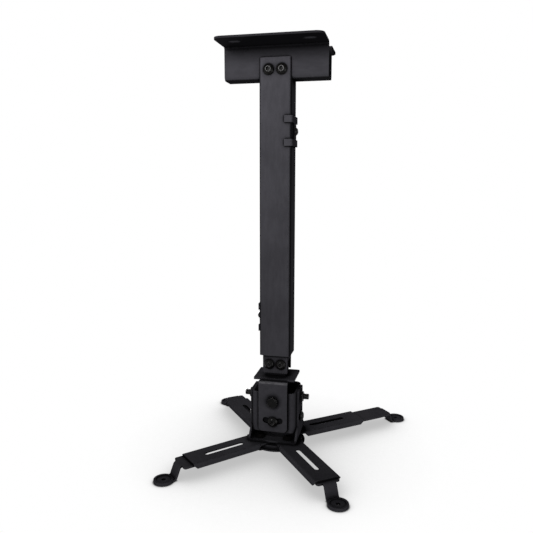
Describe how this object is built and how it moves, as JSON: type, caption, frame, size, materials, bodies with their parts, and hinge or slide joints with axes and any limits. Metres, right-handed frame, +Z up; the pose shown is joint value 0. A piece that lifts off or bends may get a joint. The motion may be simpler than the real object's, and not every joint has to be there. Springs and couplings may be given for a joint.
{
  "type": "projector ceiling mount",
  "caption": "Black steel projector ceiling mount with a folded ceiling bracket, a telescopic pole, a swivel and tilt head, and swinging arms with sliding ring feet.",
  "frame": {"origin": "centre of the ceiling face, between the four ceiling slots", "axes": "+Z points up at the ceiling along the pole, X runs along the ceiling bracket, and the front of the mount faces -Y"},
  "size_m": [0.2436, 0.2319, 0.4301],
  "materials": {
    "powder_coat": "satin black powder coat with a fine grain",
    "black_oxide": "black oxide, slightly glossy"
  },
  "bodies": {
    "ceiling_column": {"ceiling_bracket": "powder_coat", "outer_tube": "powder_coat", "top_bolts": "black_oxide", "top_nuts": "black_oxide", "lock_strap_upper": "powder_coat", "lock_strap_lower": "powder_coat", "lock_screws": "black_oxide"},
    "drop_column": {"inner_tube": "powder_coat", "saddle": "powder_coat", "saddle_bolts": "black_oxide", "saddle_nuts": "black_oxide", "swivel_plate": "powder_coat", "swivel_bolt": "black_oxide", "swivel_nut": "black_oxide"},
    "swivel_head": {"upper_yoke": "powder_coat"},
    "tilt_head": {"tilt_block": "powder_coat", "roll_pivots": "black_oxide", "roll_locks": "black_oxide", "roll_nuts": "black_oxide", "pitch_pivots": "black_oxide", "pitch_pivot_nuts": "black_oxide", "pitch_locks": "black_oxide", "pitch_nuts": "black_oxide"},
    "hub": {"lower_yoke": "powder_coat", "hub_disc": "powder_coat", "hub_bolts": "black_oxide", "hub_nuts": "black_oxide"},
    "arm_front_left": {"arm_front_left": "powder_coat"},
    "foot_front_left": {"foot_front_left": "powder_coat"},
    "arm_front_right": {"arm_front_right": "powder_coat"},
    "foot_front_right": {"foot_front_right": "powder_coat"},
    "arm_rear_right": {"arm_rear_right": "powder_coat"},
    "foot_rear_right": {"foot_rear_right": "powder_coat"},
    "arm_rear_left": {"arm_rear_left": "powder_coat"},
    "foot_rear_left": {"foot_rear_left": "powder_coat"}
  },
  "joints": [
    {"name": "drop_slide", "type": "slide", "parent": "ceiling_column", "child": "drop_column", "axis": [0, 0, -1], "range_m": [0, 0.22]},
    {"name": "head_swivel", "type": "hinge", "parent": "drop_column", "child": "swivel_head", "pos_m": [0, 0, -0.3466], "axis": [0, 0, 1], "continuous": true},
    {"name": "roll_tilt", "type": "hinge", "parent": "swivel_head", "child": "tilt_head", "pos_m": [0, 0, -0.3681], "axis": [0, 1, 0], "range_deg": [-15, 15]},
    {"name": "pitch_tilt", "type": "hinge", "parent": "tilt_head", "child": "hub", "pos_m": [0, 0, -0.3681], "axis": [1, 0, 0], "range_deg": [-15, 15]},
    {"name": "arm_swing_front_left", "type": "hinge", "parent": "hub", "child": "arm_front_left", "pos_m": [-0.01556, -0.01556, -0.4139], "axis": [0, 0, 1], "range_deg": [-21.2, 18.8]},
    {"name": "foot_slide_front_left", "type": "slide", "parent": "arm_front_left", "child": "foot_front_left", "axis": [-0.6921, -0.7218, 0], "range_m": [-0.006, 0.04]},
    {"name": "arm_swing_front_right", "type": "hinge", "parent": "hub", "child": "arm_front_right", "pos_m": [0.01556, -0.01556, -0.4139], "axis": [0, 0, 1], "range_deg": [-11.4, 28.6]},
    {"name": "foot_slide_front_right", "type": "slide", "parent": "arm_front_right", "child": "foot_front_right", "axis": [0.5934, -0.8049, 0], "range_m": [-0.0015, 0.04]},
    {"name": "arm_swing_rear_right", "type": "hinge", "parent": "hub", "child": "arm_rear_right", "pos_m": [0.01556, 0.01556, -0.4139], "axis": [0, 0, 1], "range_deg": [-13.7, 26.3]},
    {"name": "foot_slide_rear_right", "type": "slide", "parent": "arm_rear_right", "child": "foot_rear_right", "axis": [0.7804, 0.6252, 0], "range_m": [-0.006, 0.04]},
    {"name": "arm_swing_rear_left", "type": "hinge", "parent": "hub", "child": "arm_rear_left", "pos_m": [-0.01556, 0.01556, -0.4139], "axis": [0, 0, 1], "range_deg": [-13, 27]},
    {"name": "foot_slide_rear_left", "type": "slide", "parent": "arm_rear_left", "child": "foot_rear_left", "axis": [-0.6157, 0.788, 0], "range_m": [-0.006, 0.04]}
  ]
}
